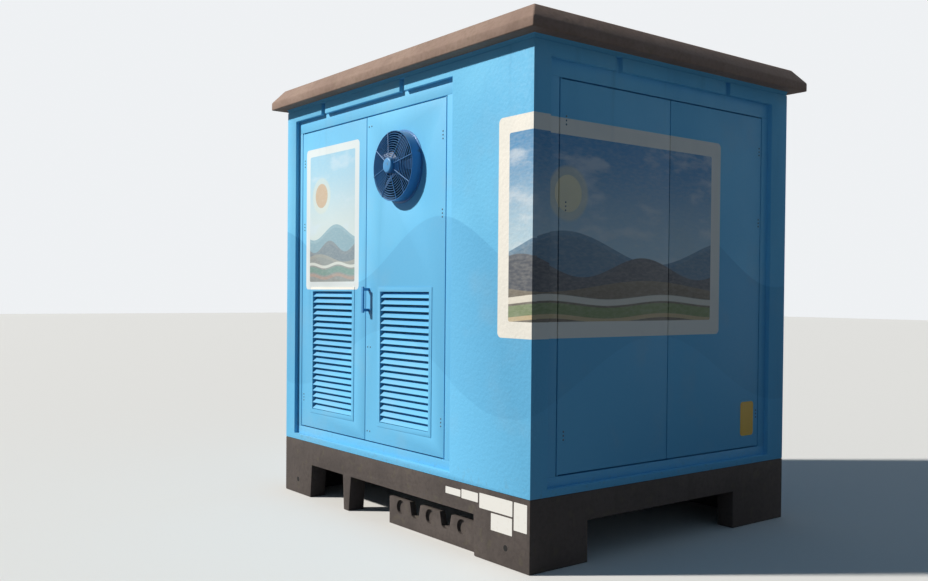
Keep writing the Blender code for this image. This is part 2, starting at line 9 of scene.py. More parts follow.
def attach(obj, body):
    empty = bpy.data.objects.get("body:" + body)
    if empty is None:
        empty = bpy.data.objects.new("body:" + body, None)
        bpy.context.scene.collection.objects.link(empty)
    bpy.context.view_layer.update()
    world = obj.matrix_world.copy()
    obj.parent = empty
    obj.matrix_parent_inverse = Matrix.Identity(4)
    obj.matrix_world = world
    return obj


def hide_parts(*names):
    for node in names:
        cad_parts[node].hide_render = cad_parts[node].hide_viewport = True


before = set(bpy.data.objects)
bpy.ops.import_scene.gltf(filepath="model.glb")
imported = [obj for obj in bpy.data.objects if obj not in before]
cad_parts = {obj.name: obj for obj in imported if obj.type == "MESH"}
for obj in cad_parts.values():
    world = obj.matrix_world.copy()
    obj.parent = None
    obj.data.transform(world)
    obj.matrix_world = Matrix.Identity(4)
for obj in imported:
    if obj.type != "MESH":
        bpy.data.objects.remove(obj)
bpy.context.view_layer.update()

# Faces and levels of the kiosk, in metres
FRONT_Y, BACK_Y = -1.13, 1.13
FAR_X, NEAR_X = -1.375, 1.375
PLINTH_Z, EAVES_Z = 0.395, 2.815
DOOR_SETBACK = 0.03
DOOR_Y = FRONT_Y + DOOR_SETBACK
DOOR_X = NEAR_X - DOOR_SETBACK
SEAM = 0.0003
OVERRUN = 0.05

# Room and doorways: walls, floor, piers on each side of a doorway, lintel and its notches
WALL, FLOOR, LINTEL = 0.11, 0.042, 0.079
FRONT_PIERS = (0.13, 0.707)
SIDE_PIERS = (0.124, 0.166)
NOTCH_WIDTH, NOTCH_DEPTH = 0.05, 0.03
FRONT_NOTCHES_X = (-0.84425, 0.143)
SIDE_NOTCHES_Y = (-0.4859, 0.49494)

# Plinth: walls, band over the openings, openings with their spread at the ground, plug holes painted as
# near-black shade discs
PLINTH_WALL, BAND = 0.12, 0.161
FRONT_OPENINGS = (((-0.975, -0.54), (0.024, 0.018)), ((-0.435, 0.898), (0.03, 0.01)))
SIDE_OPENING = (-0.7, 0.6)
PLUG_X, PLUG_Z, PLUG_RADIUS = 1.18, 0.103, 0.0185

# Cable panel: the knock-outs open to its top edge, narrower at the foot, cut back from the front face
OPEN_HOLES_X = (0.2537, 0.5697)
OPEN_HOLE_WIDTH, OPEN_HOLE_FOOT, OPEN_HOLE_TAPER, OPEN_HOLE_REACH = 0.12, 0.09, 0.022, 0.13

# Fan guard: hoops from the motor to the rim, reaching forward of the door
FAN = Vector((0.108, DOOR_Y, 2.272))
GUARD_HOOPS, GUARD_ARMS = 12, 8
HOOP_RADII = (0.0515, 0.2165)
GUARD_REACH = (0.0895, 0.0695)
ARM_RADII = (0.048, 0.2185)
HOOP_WIRE, RIM_WIRE, ARM_WIRE = 0.0019, 0.0028, 0.0028

# Screws: groups of three at the hidden hinges, pairs beside the meeting edge
HINGE_LEVELS, SCREW_PITCH = (0.71, 1.955, 2.418), 0.022
MEETING_EDGE_X = -0.303
MEETING_OFFSETS = (0.024, 0.056)
MEETING_LEVEL_SHARES = (0.9, 0.3, 0.07)

# Plates as low x, low z, high x, high z on the plinth, and low y, low z, high y, high z on the side leaf
PLINTH_PLATES = ((0.637, 0.312, 0.78, 0.352), (0.789, 0.308, 0.94, 0.36), (0.953, 0.282, 1.236, 0.366),
                 (1.056, 0.178, 1.234, 0.272), (1.248, 0.214, 1.354, 0.366))
SIDE_PLATE = (0.705, 0.575, 0.84, 0.795)
PLATE_GAP, PLATE_FACE = 0.0002, 0.0012

# Painted panels as low and high corners: x or the way round the near corner, then height
LARGE_PANEL = ((-0.28, 1.24), (1.6, 2.43))
SMALL_PANEL = ((-1.13, 1.5), (-0.4, 2.51))
BORDER_SHARE = 0.075
SUN_PLACE_SHARES, SUN_SHARE, HALO_SHARE = (0.3, 0.66), 0.085, 0.125


def linear(code):
    """Linear RGB of an sRGB hex colour."""
    values = [int(code[i:i + 2], 16) / 255 for i in (0, 2, 4)]
    return [v / 12.92 if v <= 0.04045 else ((v + 0.055) / 1.055) ** 2.4 for v in values]


class Paint:
    """A procedural material: small methods that add a node or two each and return their output."""

    def __init__(self, name):
        self.material = bpy.data.materials.new(name)
        self.material.use_nodes = True
        self.tree = self.material.node_tree
        self.shader = self.tree.nodes["Principled BSDF"]
        self.place = self.node("ShaderNodeTexCoord").outputs["Object"]
        parts = self.node("ShaderNodeSeparateXYZ", self.place)
        self.x, self.y, self.z = parts.outputs
        normal = self.node("ShaderNodeSeparateXYZ", self.node("ShaderNodeNewGeometry").outputs["Normal"])
        self.up = normal.outputs[2]

    def node(self, kind, *inputs, **settings):
        """Adds a node, sets its properties and fills its first inputs."""
        made = self.tree.nodes.new(kind)
        for key, value in settings.items():
            setattr(made, key, value)
        for i, value in enumerate(inputs):
            self.fill(made.inputs[i], value)
        return made

    def fill(self, socket, value):
        """Links an output to a socket, or sets its value; None leaves it."""
        if isinstance(value, bpy.types.NodeSocket):
            self.tree.links.new(value, socket)
        elif value is not None:
            socket.default_value = value

    def math(self, operation, *inputs):
        return self.node("ShaderNodeMath", *inputs, operation=operation).outputs[0]

    def ramp(self, value, low, high, start=0.0, end=1.0):
        """A smooth step from start to end as the value goes from low to high."""
        made = self.node("ShaderNodeMapRange", value, low, high, start, end, interpolation_type="SMOOTHSTEP")
        return made.outputs[0]

    def noise(self, size, detail=4.0, stretch=(1, 1, 1)):
        """Noise whose blotches are about a size in millimetres apart."""
        spread = self.node("ShaderNodeMapping", self.place, None, None, stretch).outputs[0]
        return self.node("ShaderNodeTexNoise", spread, None, 1000 / size, detail).outputs["Fac"]

    def patches(self, size, detail, low, high, stretch=(1, 1, 1)):
        """0 to 1 where the noise goes from low to high."""
        return self.ramp(self.noise(size, detail, stretch), low, high)

    def colour(self, code):
        made = self.node("ShaderNodeRGB")
        made.outputs[0].default_value = (*linear(code), 1.0)
        return made.outputs[0]

    def blend(self, share, under, over):
        """Mixes two colours, each a hex code or a socket."""
        made = self.node("ShaderNodeMix", data_type="RGBA")
        self.fill(made.inputs["Factor"], share)
        for key, value in (("A", under), ("B", over)):
            socket = [s for s in made.inputs if s.name == key and s.type == "RGBA"][0]
            self.fill(socket, self.colour(value) if isinstance(value, str) else value)
        return [s for s in made.outputs if s.type == "RGBA"][0]

    def all_of(self, *masks):
        """The product of masks and shares."""
        share = masks[0]
        for mask in masks[1:]:
            share = self.math("MULTIPLY", share, mask)
        return share

    def clear_of_middle(self, value, reach, start=0.0, end=1.0):
        """From start to end where the value is further than reach from the kiosk's middle."""
        return self.ramp(self.math("ABSOLUTE", value), reach, reach + 0.002, start, end)

    def panel(self, across, low, high, corner):
        """1 inside a rectangle with rounded corners, 0 outside."""
        distances = []
        for value, a, b in ((across, low[0], high[0]), (self.z, low[1], high[1])):
            middle, half = (a + b) / 2, (b - a) / 2 - corner
            offset = self.math("ABSOLUTE", self.math("SUBTRACT", value, middle))
            distances.append(self.math("MAXIMUM", self.math("SUBTRACT", offset, half), 0.0))
        squares = [self.math("MULTIPLY", d, d) for d in distances]
        distance = self.math("SQRT", self.math("ADD", *squares))
        return self.ramp(distance, corner - 0.001, corner + 0.001, 1.0, 0.0)

    def wave(self, across, rise, height, length, phase):
        """A curve's level: rise plus a sine of a length along the wall."""
        angle = self.math("MULTIPLY_ADD", across, math.tau / length, phase)
        return self.math("MULTIPLY_ADD", self.math("SINE", angle), height, rise)

    def below(self, curve, soft=0.002):
        """1 under a curve, 0 over it."""
        return self.ramp(self.math("SUBTRACT", self.z, curve), -soft, soft, 1.0, 0.0)

    def disc(self, across, centre, radius, soft=0.002):
        """1 inside a circle, 0 outside."""
        dx = self.math("SUBTRACT", across, centre[0])
        dz = self.math("SUBTRACT", self.z, centre[1])
        squares = self.math("MULTIPLY_ADD", dx, dx, self.math("MULTIPLY", dz, dz))
        return self.ramp(self.math("SQRT", squares), radius - soft, radius + soft, 1.0, 0.0)

    def finish(self, colour, roughness, bump=None, strength=0.2, distance=0.002, ior=1.5):
        """Fills the shader and returns the material."""
        self.fill(self.shader.inputs["Base Color"], colour)
        self.fill(self.shader.inputs["Roughness"], roughness)
        self.shader.inputs["IOR"].default_value = ior
        if bump is not None:
            made = self.node("ShaderNodeBump", strength, distance)
            self.fill(made.inputs["Height"], bump)
            self.fill(self.shader.inputs["Normal"], made.outputs[0])
        return self.material


def painted_ground(paint):
    """Sky-blue paint in two soft tones that meet along long waves."""
    along = paint.math("ADD", paint.x, paint.y)
    blue = paint.blend(paint.patches(625, 2.0, 0.3, 0.7), "6ABDE8", "76C8F0")
    crest = paint.wave(along, 1.74, 0.2, 2.0, 3.46)
    low = paint.blend(paint.below(crest, 0.006), blue, "64B4DF")
    swell = paint.wave(along, 1.02, 0.22, 2.38, 4.6)
    return paint.blend(paint.below(swell, 0.006), low, "69BBE6")


def landscape(paint, ground, across, corners, shares):
    """A bordered panel with a sun, hills and banded fields. Places in it are shares of its own size."""
    low, high = corners
    width, height = high[0] - low[0], high[1] - low[1]
    edge = BORDER_SHARE * min(width, height)
    border = paint.panel(across, low, high, 0.03)
    inside = paint.panel(across, (low[0] + edge, low[1] + edge), (high[0] - edge, high[1] - edge), 0.012)

    def level(share):
        return low[1] + share * height

    sky = paint.blend(paint.ramp(paint.z, level(0.35), level(0.95)), shares["haze"], shares["sky"])
    cloud = paint.patches(312, 5.0, 0.52, 0.7, (1, 1, 2.6))
    picture = paint.blend(paint.math("MULTIPLY", cloud, 0.55), sky, "E3E8EA")
    centre = (low[0] + SUN_PLACE_SHARES[0] * width, level(SUN_PLACE_SHARES[1]))
    halo = paint.disc(across, centre, HALO_SHARE * height, 0.012)
    picture = paint.blend(paint.math("MULTIPLY", halo, 0.5), picture, "EFE3BF")
    picture = paint.blend(paint.disc(across, centre, SUN_SHARE * height), picture, shares["sun"])
    for rise, swing, pitch, phase, code in shares["hills"]:
        curve = paint.wave(across, level(rise), swing * height, width / pitch, phase)
        picture = paint.blend(paint.below(curve), picture, code)
        body = paint.below(paint.math("SUBTRACT", curve, 0.022 * height))
        picture = paint.blend(paint.math("MULTIPLY", body, 0.16), picture, "2B3138")
    for rise, depth, code in shares["bands"]:
        curve = paint.wave(across, level(rise), 0.012 * height, width / 2, 0.7)
        under = paint.below(paint.math("SUBTRACT", curve, depth * height))
        band = paint.all_of(paint.below(curve), paint.math("SUBTRACT", 1.0, under))
        picture = paint.blend(band, picture, code)
    # Brush marks, coarser than real bristles so that they show
    brushed = paint.ramp(paint.noise(38, 3.0, (1, 1, 3)), 0.3, 0.8, 0.0, 0.12)
    picture = paint.blend(brushed, picture, "F2EBDC")
    return paint.blend(inside, paint.blend(border, ground, "F2EDE2"), picture)


# Colours and shares: hills as rise, swing, count, phase, colour; bands as rise, depth, colour
LARGE_SHARES = {
    "sky": "4F8FBE", "haze": "B9D3DF", "sun": "F1E6C4",
    "hills": ((0.42, 0.07, 1.3, 0.4, "6E8CA3"), (0.33, 0.05, 1.9, 2.2, "5C6068"),
              (0.24, 0.03, 1.1, 4.4, "7C7468")),
    "bands": ((0.19, 0.03, "E6DFD0"), (0.15, 0.05, "7E8C66"), (0.1, 0.02, "C9B48E"))}
SMALL_SHARES = {
    "sky": "A9CFE0", "haze": "E4E4D6", "sun": "D9A861",
    "hills": ((0.4, 0.05, 1.2, 2.6, "9FB0AE"), (0.3, 0.04, 1.7, 0.6, "8C7B68"),
              (0.22, 0.03, 1.0, 3.4, "A8926F")),
    "bands": ((0.18, 0.02, "E9DFC9"), (0.15, 0.04, "7F8A5E"), (0.1, 0.02, "B98A5A"))}


def unfolded(paint):
    """Distance along the walls from the near front corner, below zero on the front."""
    faces_front = paint.ramp(paint.y, DOOR_Y + 0.001, DOOR_Y + 0.003, 1.0, 0.0)
    along = paint.node("ShaderNodeMix", faces_front)
    paint.fill(along.inputs[2], paint.math("SUBTRACT", paint.y, FRONT_Y))
    paint.fill(along.inputs[3], paint.math("SUBTRACT", paint.x, NEAR_X))
    return along.outputs[0]


def blue_paint(name, roughness, grain_size, strength):
    """The kiosk's paint: both panels, rain streaks, splashes, dust and a bare grey room inside."""
    paint = Paint(name)
    ground = painted_ground(paint)
    large = landscape(paint, ground, unfolded(paint), LARGE_PANEL, LARGE_SHARES)
    on_side = paint.ramp(paint.x, DOOR_X - 0.01, DOOR_X - 0.008)
    near_corner = paint.math("MAXIMUM", on_side, paint.ramp(paint.x, 1.0, 1.001))
    coloured = paint.blend(near_corner, ground, large)
    small = landscape(paint, coloured, paint.x, SMALL_PANEL, SMALL_SHARES)
    on_leaf = paint.ramp(paint.y, DOOR_Y - 0.002, DOOR_Y + 0.004, 1.0, 0.0)
    behind_pier = paint.ramp(paint.y, DOOR_Y - 0.012, DOOR_Y - 0.01)
    coloured = paint.blend(paint.all_of(on_leaf, behind_pier), coloured, small)
    streak = paint.patches(110, 3.0, 0.55, 0.8, (1, 1, 0.08))
    high = paint.ramp(paint.z, EAVES_Z - 0.7, EAVES_Z)
    coloured = paint.blend(paint.all_of(streak, high, 0.28), coloured, "3F7FA6")
    speck = paint.patches(26, 4.0, 0.57, 0.66)
    splash = paint.ramp(paint.z, PLINTH_Z, PLINTH_Z + 0.16, 1.0, 0.0)
    coloured = paint.blend(paint.all_of(speck, splash, 0.2), coloured, "6F8C94")
    dust = paint.patches(333, 6.0, 0.5, 0.75)
    coloured = paint.blend(paint.math("MULTIPLY", dust, 0.12), coloured, "A9B4B4")
    room = paint.all_of(paint.clear_of_middle(paint.x, NEAR_X - WALL + 0.001, 1.0, 0.0),
                        paint.clear_of_middle(paint.y, BACK_Y - WALL + 0.001, 1.0, 0.0))
    coloured = paint.blend(room, coloured, "BDBDB8")
    rough = paint.ramp(paint.noise(17, 3.0), 0.3, 0.7, roughness - 0.06, roughness + 0.08)
    grain = paint.math("ADD", paint.noise(grain_size, 6.0), paint.noise(grain_size * 9, 3.0))
    return paint.finish(coloured, rough, grain, strength, 0.004, ior=1.36)


def plain_concrete(name, base, light, stain, streaks, streak_share):
    """Cast concrete: blotches, air holes and rain streaks; the strip that bears on the walls is blue."""
    paint = Paint(name)
    colour = paint.blend(paint.patches(417, 6.0, 0.35, 0.68), base, light)
    fine = paint.patches(22, 5.0, 0.42, 0.7)
    colour = paint.blend(paint.math("MULTIPLY", fine, 0.35), colour, stain)
    run = paint.patches(125, 4.0, 0.5, 0.74, (1, 1, 0.12))
    colour = paint.blend(paint.math("MULTIPLY", run, streak_share), colour, streaks)
    moss = paint.patches(71, 5.0, 0.58, 0.68)
    colour = paint.blend(paint.math("MULTIPLY", moss, 0.14), colour, "6E6A4C")
    strip = paint.all_of(paint.ramp(paint.z, EAVES_Z + 0.0238, EAVES_Z + 0.024, 1.0, 0.0),
                         paint.ramp(paint.z, EAVES_Z - 0.01, EAVES_Z))
    outside = paint.math("MAXIMUM", paint.clear_of_middle(paint.x, 1.3), paint.clear_of_middle(paint.y, 1.05))
    colour = paint.blend(paint.all_of(strip, outside), colour, "6ABDE8")
    # Air holes about 18 mm apart, as a vibrated casting has
    pits = paint.node("ShaderNodeTexVoronoi", paint.place, None, 1000 / 18).outputs["Distance"]
    height = paint.math("MULTIPLY_ADD", paint.ramp(pits, 0.05, 0.2), 0.35, paint.noise(42, 8.0))
    return paint.finish(colour, 0.88, height, 0.5, 0.004, ior=1.4)


def enamel(name, code, worn, roughness, worn_share=0.6):
    """Stoved paint on steel: small worn spots, and dust on what faces up."""
    paint = Paint(name)
    chips = paint.patches(25, 5.0, 0.6, 0.68)
    colour = paint.blend(paint.math("MULTIPLY", chips, worn_share), code, worn)
    dust = paint.all_of(paint.ramp(paint.up, 0.3, 0.9), 0.35)
    colour = paint.blend(dust, colour, "8C8A80")
    return paint.finish(colour, roughness, paint.noise(11, 3.0), 0.12, 0.001)


MATERIALS = {
    # Masonry paint on cast concrete: flat, with the orange peel of a roller
    "wall_paint": blue_paint("painted_concrete", 0.68, 21, 0.45),
    # The same paint on sheet steel: smoother, with a faint sheen
    "door_paint": blue_paint("painted_steel_door", 0.52, 14, 0.08),
    # Grey-brown cast concrete: dull and blotchy
    "concrete": plain_concrete("plinth_concrete", "4B4441", "564E4A", "3B3532", "342F2C", 0.3),
    # Weathered reddish cast concrete: lighter, stained by rain
    "roof_concrete": plain_concrete("roof_concrete", "8C7569", "988174", "75604F", "645146", 0.22),
    # Deep blue enamel on the duct and the wires: a soft shine
    "fan_paint": enamel("fan_enamel", "2E78B4", "3A4A55", 0.38),
    # Moulded plastic blades in the duct: duller, and darker by painted shade
    "fan_plastic": enamel("fan_blades", "1F4E7C", "2A2A2C", 0.5),
    # Light blue enamel on the handle and the motor
    "handle_paint": enamel("handle_enamel", "3F8FC8", "6D6A66", 0.4),
    # White and yellow enamelled plates, nearly clean
    "plate": enamel("bare_white_plate", "E4E2DC", "B4A898", 0.35, 0.1),
    "yellow_plate": enamel("yellow_plate", "E2B020", "A98A3A", 0.4, 0.1),
    # Painted shade: near-black for the dark inside of a deep plug hole
    "dark_hole": enamel("plug_hole_shadow", "070606", "070606", 0.95, 0.0),
    # Painted steel screws, darker than the door
    "screw": enamel("screw_heads", "3F5C70", "5A4A3C", 0.45),
}

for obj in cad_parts.values():
    for entry in obj.material_slots:
        if entry.material:
            name = entry.material.name.split(".")[0]
            if name in MATERIALS:
                entry.material = MATERIALS[name]


def piece(name, shape, look, body, smooth=False):
    """An object from a bmesh drawn in world coordinates, riding on a CAD body."""
    bmesh.ops.recalc_face_normals(shape, faces=shape.faces)
    mesh = bpy.data.meshes.new(name)
    shape.to_mesh(mesh)
    shape.free()
    obj = bpy.data.objects.new(name, mesh)
    bpy.context.scene.collection.objects.link(obj)
    mesh.materials.append(MATERIALS[look])
    if smooth:
        mesh.shade_smooth()
        mesh.set_sharp_from_angle(angle=math.radians(40))
    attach(obj, body)
    return obj


def add_skin(shape, rings):
    """Side faces between closed rings of equal length, and a cap on the first and the last."""
    for first, second in zip(rings, rings[1:]):
        for i in range(len(first)):
            j = (i + 1) % len(first)
            shape.faces.new((first[i], first[j], second[j], second[i]))
    shape.faces.new(rings[0])
    shape.faces.new(rings[-1])


def add_turned(shape, centre, profile, direction, segments=24):
    """Turns a profile of (radius, reach) about a direction; reach 0 is at the centre."""
    turn = Vector((0, 0, 1)).rotation_difference(Vector(direction)).to_matrix().to_4x4()
    place = Matrix.Translation(centre) @ turn
    rings = []
    for radius, reach in profile:
        ring = []
        for i in range(segments if radius else 1):
            angle = math.tau * i / segments
            point = Vector((radius * math.cos(angle), radius * math.sin(angle), reach))
            ring.append(shape.verts.new(place @ point))
        rings.append(ring)
    for first, second in zip(rings, rings[1:]):
        for i in range(segments):
            corners = [first[i % len(first)], first[(i + 1) % len(first)],
                       second[(i + 1) % len(second)], second[i % len(second)]]
            corners = list(dict.fromkeys(corners))
            if len(corners) > 2:
                shape.faces.new(corners)
    for ring in (rings[0], rings[-1]):
        if len(ring) > 2:
            shape.faces.new(ring)


def soften(name, mesh, width, look, body, nodes):
    """A shown piece from a mesh: flat faces joined up, edges rounded, in place of CAD nodes."""
    shape = bmesh.new()
    shape.from_mesh(mesh)
    bmesh.ops.remove_doubles(shape, verts=shape.verts, dist=0.00002)
    bmesh.ops.dissolve_limit(shape, angle_limit=math.radians(1), verts=shape.verts, edges=shape.edges)
    edges = [e for e in shape.edges if len(e.link_faces) == 2 and e.calc_face_angle() > math.radians(25)]
    bmesh.ops.bevel(shape, geom=edges, offset=width, segments=2, profile=0.6, affect="EDGES",
                    clamp_overlap=True)
    obj = piece(name, shape, look, body, smooth=True)
    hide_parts(*nodes)


def soften_nodes(width, look, body, *names):
    """Rounded copies of CAD nodes, one for each."""
    for name in names:
        soften(name + "_rounded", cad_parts[name].data, width, look, body, [name])


def block_mesh(blocks):
    """One mesh of separate blocks: low corner, high corner and, if any, the foot's spread at both x ends."""
    shape = bmesh.new()
    for low, high, *spread in blocks:
        left, right = spread[0] if spread else (0.0, 0.0)
        rings = []
        for z, a, b in ((low[2], low[0] - left, high[0] + right), (high[2], low[0], high[0])):
            corners = ((a, low[1]), (b, low[1]), (b, high[1]), (a, high[1]))
            rings.append([shape.verts.new((x, y, z)) for x, y in corners])
        add_skin(shape, rings)
    bmesh.ops.recalc_face_normals(shape, faces=shape.faces)
    mesh = bpy.data.meshes.new("block")
    shape.to_mesh(mesh)
    shape.free()
    return mesh


def carved(whole, cuts):
    """A copy of a mesh with blocks cut out of it."""
    made = []
    for mesh in (whole, block_mesh(cuts)):
        obj = bpy.data.objects.new("block", mesh)
        bpy.context.scene.collection.objects.link(obj)
        made.append(obj)
    solid, tool = made
    modifier = solid.modifiers.new("cut", "BOOLEAN")
    modifier.object, modifier.operation, modifier.solver = tool, "DIFFERENCE", "EXACT"
    modifier.use_self = True  # the cutting blocks overlap each other
    graph = bpy.context.evaluated_depsgraph_get()
    mesh = bpy.data.meshes.new_from_object(solid.evaluated_get(graph))
    for obj in made:
        bpy.data.objects.remove(obj, do_unlink=True)
    return mesh


def shell():
    """The body as one casting: room, two doorways and the notches in the lintels."""
    floor_z, lintel_z, over = PLINTH_Z + FLOOR, EAVES_Z - LINTEL, EAVES_Z + OVERRUN
    front, side = FRONT_Y - OVERRUN, NEAR_X + OVERRUN
    room_x, room_y = NEAR_X - WALL, BACK_Y - WALL
    inner_x, inner_y = room_x - OVERRUN / 2, -room_y + OVERRUN / 2
    notch_z, half = lintel_z - OVERRUN, NOTCH_WIDTH / 2
    cuts = [((-room_x, -room_y, floor_z), (room_x, room_y, over)),
            ((FAR_X + FRONT_PIERS[0], front, floor_z), (NEAR_X - FRONT_PIERS[1], inner_y, lintel_z)),
            ((inner_x, FRONT_Y + SIDE_PIERS[0], floor_z), (side, BACK_Y - SIDE_PIERS[1], lintel_z))]
    for x in FRONT_NOTCHES_X:
        cuts.append(((x - half, front, notch_z), (x + half, FRONT_Y + NOTCH_DEPTH, over)))
    for y in SIDE_NOTCHES_Y:
        cuts.append(((NEAR_X - NOTCH_DEPTH, y - half, notch_z), (side, y + half, over)))
    mesh = carved(block_mesh([((FAR_X, FRONT_Y, PLINTH_Z + SEAM), (NEAR_X, BACK_Y, EAVES_Z))]), cuts)
    soften("body_casting", mesh, 0.005, "wall_paint", "shell",
           ["floor_slab", "front_pier_far", "front_pier_near", "front_lintel", "side_pier_near",
            "side_pier_far", "side_lintel", "wall_back", "wall_far"])


def plinth():
    """The plinth as one casting, its openings a little wider at the ground."""
    under, top = -OVERRUN, PLINTH_Z - BAND
    inner_x, inner_y = NEAR_X - PLINTH_WALL, BACK_Y - PLINTH_WALL
    cuts = [((-inner_x, -inner_y, under), (inner_x, inner_y, PLINTH_Z + OVERRUN)),
            ((inner_x - OVERRUN, SIDE_OPENING[0], under), (NEAR_X + OVERRUN, SIDE_OPENING[1], top))]
    for (low_x, high_x), spread in FRONT_OPENINGS:
        cuts.append(((low_x, FRONT_Y - OVERRUN, under), (high_x, -inner_y + OVERRUN, top), spread))
    mesh = carved(block_mesh([((FAR_X, FRONT_Y, 0.0), (NEAR_X, BACK_Y, PLINTH_Z - SEAM))]), cuts)
    names = [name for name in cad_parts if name.startswith("plinth_")]
    soften("plinth_casting", mesh, 0.006, "concrete", "shell", names)
    # Near-black discs flush with the front face: painted shade in place of deep plug holes
    shape = bmesh.new()
    for x in (-PLUG_X, PLUG_X):
        rim = [(0.0, 0.0004), (PLUG_RADIUS - 0.0015, 0.0004), (PLUG_RADIUS, -0.003), (0.0, -0.0035)]
        add_turned(shape, Vector((x, FRONT_Y, PLUG_Z)), rim, (0, -1, 0), 20)
    piece("plug_hole_shade_discs", shape, "dark_hole", "shell")


def cable_entry():
    """The sunk panel for the cables: its second and fourth holes are open to the top edge."""
    half, head, back_y = OPEN_HOLE_WIDTH / 2, OPEN_HOLE_FOOT * 2, FRONT_Y + OPEN_HOLE_REACH
    spread = (-OPEN_HOLE_TAPER, -OPEN_HOLE_TAPER)
    cuts = [((x - half, FRONT_Y, OPEN_HOLE_FOOT), (x + half, back_y, head), spread) for x in OPEN_HOLES_X]
    mesh = carved(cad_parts["cable_entry_panel"].data, cuts)
    soften("cable_entry_casting", mesh, 0.004, "concrete", "shell", ["cable_entry_panel"])


def add_wire_ring(shape, centre, radius, wire, segments=72, sides=6):
    """A wire hoop in the plane of the door."""
    rows = []
    for i in range(segments):
        angle = math.tau * i / segments
        row = []
        for j in range(sides):
            turn = math.tau * j / sides
            reach = radius + wire * math.cos(turn)
            x, z = reach * math.cos(angle), reach * math.sin(angle)
            row.append(shape.verts.new(centre + Vector((x, wire * math.sin(turn), z))))
        rows.append(row)
    for i in range(segments):
        for j in range(sides):
            after, beside = (i + 1) % segments, (j + 1) % sides
            shape.faces.new((rows[i][j], rows[after][j], rows[after][beside], rows[i][beside]))


def fan_guard():
    """Closely spaced wire hoops on eight radial wires, dished forward from the duct to the motor."""
    middle, rim = [FAN - Vector((0, reach, 0)) for reach in GUARD_REACH]
    shape = bmesh.new()
    last = GUARD_HOOPS - 1
    for i in range(GUARD_HOOPS):
        radius = HOOP_RADII[0] + (HOOP_RADII[1] - HOOP_RADII[0]) * i / last
        add_wire_ring(shape, middle.lerp(rim, i / last), radius, HOOP_WIRE if i < last else RIM_WIRE)
    lift = Vector((0, -0.003, 0))
    for arm in range(GUARD_ARMS):
        angle = math.tau * (arm + 0.3) / GUARD_ARMS
        out = Vector((math.cos(angle), 0, math.sin(angle)))
        start, end = middle + out * ARM_RADII[0], rim + out * ARM_RADII[1]
        wire = [(ARM_WIRE, 0), (ARM_WIRE, (end - start).length)]
        add_turned(shape, start + lift, wire, end - start, 8)
    guard = piece("guard_wires", shape, "fan_paint", "front_near_door", smooth=True)
    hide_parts("fan_guard")


def screws():
    """Low domed heads at the concealed hinges and beside the meeting edge."""
    front, side = (0, -1, 0), (1, 0, 0)
    heads = {"front_far_door": [], "front_near_door": [], "side_near_door": [], "side_far_door": []}
    for middle in HINGE_LEVELS:
        for level in (middle - SCREW_PITCH, middle, middle + SCREW_PITCH):
            heads["front_far_door"].append(((-1.155, DOOR_Y, level), front))
            heads["front_near_door"].append(((0.541, DOOR_Y, level), front))
            heads["side_near_door"].append(((DOOR_X, -0.866, level), side))
            heads["side_far_door"].append(((DOOR_X, 0.869, level), side))
    for share in MEETING_LEVEL_SHARES:
        for offset in MEETING_OFFSETS:
            level = PLINTH_Z + share * (EAVES_Z - PLINTH_Z)
            heads["front_near_door"].append(((MEETING_EDGE_X + offset, DOOR_Y, level), front))
    for body, places in heads.items():
        shape = bmesh.new()
        for place, direction in places:
            profile = [(0.0055, -0.0002), (0.0055, 0.0008), (0.004, 0.0022), (0.0, 0.0028)]
            add_turned(shape, Vector(place), profile, direction, 12)
        piece("screws_" + body, shape, "screw", body, smooth=True)


def add_plate(shape, low, high, across, corner, steps=6):
    """A thin plate with rounded corners; across names the two axes of its face."""
    u, v = across
    w = 3 - u - v
    rings = [[], []]
    for quarter in range(4):
        right, upper = quarter in (0, 3), quarter in (0, 1)
        for step in range(steps):
            angle = math.tau * (quarter + step / (steps - 1)) / 4
            place = [0.0, 0.0, 0.0]
            place[u] = (high[u] - corner if right else low[u] + corner) + corner * math.cos(angle)
            place[v] = (high[v] - corner if upper else low[v] + corner) + corner * math.sin(angle)
            for ring, level in zip(rings, (low[w], high[w])):
                place[w] = level
                ring.append(shape.verts.new(place))
    add_skin(shape, rings)


def plates():
    """Bare plates on the plinth by the near corner and on the far side leaf."""
    shape = bmesh.new()
    for low_x, low_z, high_x, high_z in PLINTH_PLATES:
        low, high = (low_x, FRONT_Y - PLATE_FACE, low_z), (high_x, FRONT_Y - PLATE_GAP, high_z)
        add_plate(shape, low, high, (0, 2), 0.004)
    piece("plinth_plates", shape, "plate", "shell")
    shape = bmesh.new()
    low_y, low_z, high_y, high_z = SIDE_PLATE
    low, high = (DOOR_X + PLATE_GAP, low_y, low_z), (DOOR_X + PLATE_FACE, high_y, high_z)
    add_plate(shape, low, high, (1, 2), 0.022)
    piece("yellow_side_plate", shape, "yellow_plate", "side_far_door")


shell()
plinth()
soften_nodes(0.008, "roof_concrete", "shell", "roof_slab")
cable_entry()
soften_nodes(0.0015, "door_paint", "shell", *[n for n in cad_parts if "_jamb_" in n or "_frame_" in n])
soften_nodes(0.0015, "door_paint", "front_far_door", "front_leaf_far")
soften_nodes(0.0015, "door_paint", "front_near_door", "front_leaf_near")
soften_nodes(0.0015, "door_paint", "side_near_door", "side_leaf_near")
soften_nodes(0.0015, "door_paint", "side_far_door", "side_leaf_far")
soften_nodes(0.0012, "door_paint", "front_far_door", "louvre_far")
soften_nodes(0.0012, "door_paint", "front_near_door", "louvre_near")
soften_nodes(0.004, "handle_paint", "front_near_door", "door_handle")
soften_nodes(0.0012, "fan_paint", "front_near_door", "fan_duct")
soften_nodes(0.003, "handle_paint", "front_near_door", "fan_motor")
fan_guard()
screws()
plates()

# The photograph's view, solved from the kiosk's corners: place in metres, turn, dip and roll in degrees
EYE = (5.070, -4.445, 1.472)
AZIMUTH, DIP, ROLL = 52.1977, 0.8936, 0.5012
LENS, SHIFT = 36.78, 0.0204


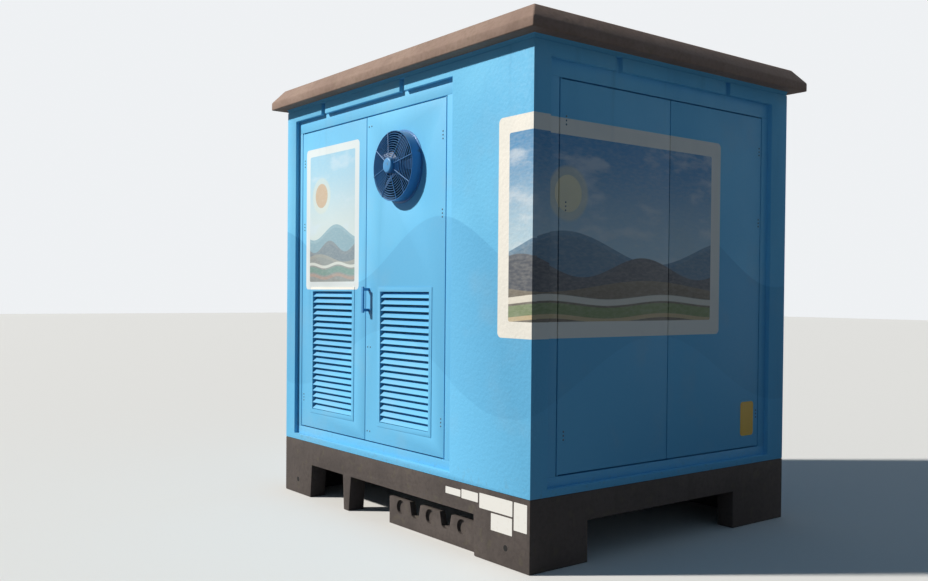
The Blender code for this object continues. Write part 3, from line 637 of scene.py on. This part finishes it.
def camera():
    """The camera at the photograph's viewing angle."""
    azimuth, dip, roll = [math.radians(value) for value in (AZIMUTH, DIP, ROLL)]
    ahead = Vector((-math.sin(azimuth) * math.cos(dip), math.cos(azimuth) * math.cos(dip), -math.sin(dip)))
    right = Vector((math.cos(azimuth), math.sin(azimuth), 0))
    up = right.cross(ahead)
    side = right * math.cos(roll) + up * math.sin(roll)
    top = up * math.cos(roll) - right * math.sin(roll)
    data = bpy.data.cameras.new("camera")
    data.lens, data.sensor_width, data.shift_y = LENS, 36.0, SHIFT
    data.clip_end = 200
    obj = bpy.data.objects.new("camera", data)
    obj.matrix_world = Matrix.Translation(EYE) @ Matrix((side, top, -ahead)).transposed().to_4x4()
    bpy.context.scene.collection.objects.link(obj)
    bpy.context.scene.camera = obj


def seen_directly(tree):
    """1 for rays from the camera, a reflection or a clear pane, 0 for light that bounces."""
    rays = tree.nodes.new("ShaderNodeLightPath").outputs
    share = rays["Is Camera Ray"]
    for kind in ("Is Glossy Ray", "Is Transmission Ray"):
        either = tree.nodes.new("ShaderNodeMath")
        either.operation = "MAXIMUM"
        tree.links.new(share, either.inputs[0])
        tree.links.new(rays[kind], either.inputs[1])
        share = either.outputs[0]
    return share


def lights():
    """A soft-edged key light from the front left and an even blue-grey fill before a pale background."""
    data = bpy.data.lights.new("sun", "SUN")
    data.energy, data.angle = 4.6, math.radians(2.5)
    data.color = (1.0, 0.96, 0.9)
    obj = bpy.data.objects.new("sun", data)
    obj.rotation_euler = Vector((-0.5, -0.7, 0.6)).to_track_quat("Z", "Y").to_euler()
    bpy.context.scene.collection.objects.link(obj)
    world = bpy.data.worlds.new("sky")
    world.use_nodes = True
    tree = world.node_tree
    fill = tree.nodes["Background"]
    fill.inputs[0].default_value = (0.36, 0.66, 1.0, 1.0)
    fill.inputs[1].default_value = 0.14
    seen = tree.nodes.new("ShaderNodeBackground")
    seen.inputs[0].default_value = (0.86, 0.88, 0.9, 1.0)
    mix = tree.nodes.new("ShaderNodeMixShader")
    tree.links.new(seen_directly(tree), mix.inputs[0])
    tree.links.new(fill.outputs[0], mix.inputs[1])
    tree.links.new(seen.outputs[0], mix.inputs[2])
    tree.links.new(mix.outputs[0], tree.nodes["World Output"].inputs[0])
    bpy.context.scene.world = world


def floor():
    """A plain pale floor that throws little light back on the walls."""
    shape = bmesh.new()
    bmesh.ops.create_grid(shape, x_segments=1, y_segments=1, size=60.0)
    mesh = bpy.data.meshes.new("floor")
    shape.to_mesh(mesh)
    shape.free()
    obj = bpy.data.objects.new("floor", mesh)
    obj.location.z = -0.001
    paint = Paint("pale_floor")
    shown = paint.blend(seen_directly(paint.tree), "54585E", "E6E5E2")
    mesh.materials.append(paint.finish(shown, 0.9))
    bpy.context.scene.collection.objects.link(obj)


camera()
lights()
floor()
bpy.context.scene.view_settings.view_transform = "Standard"
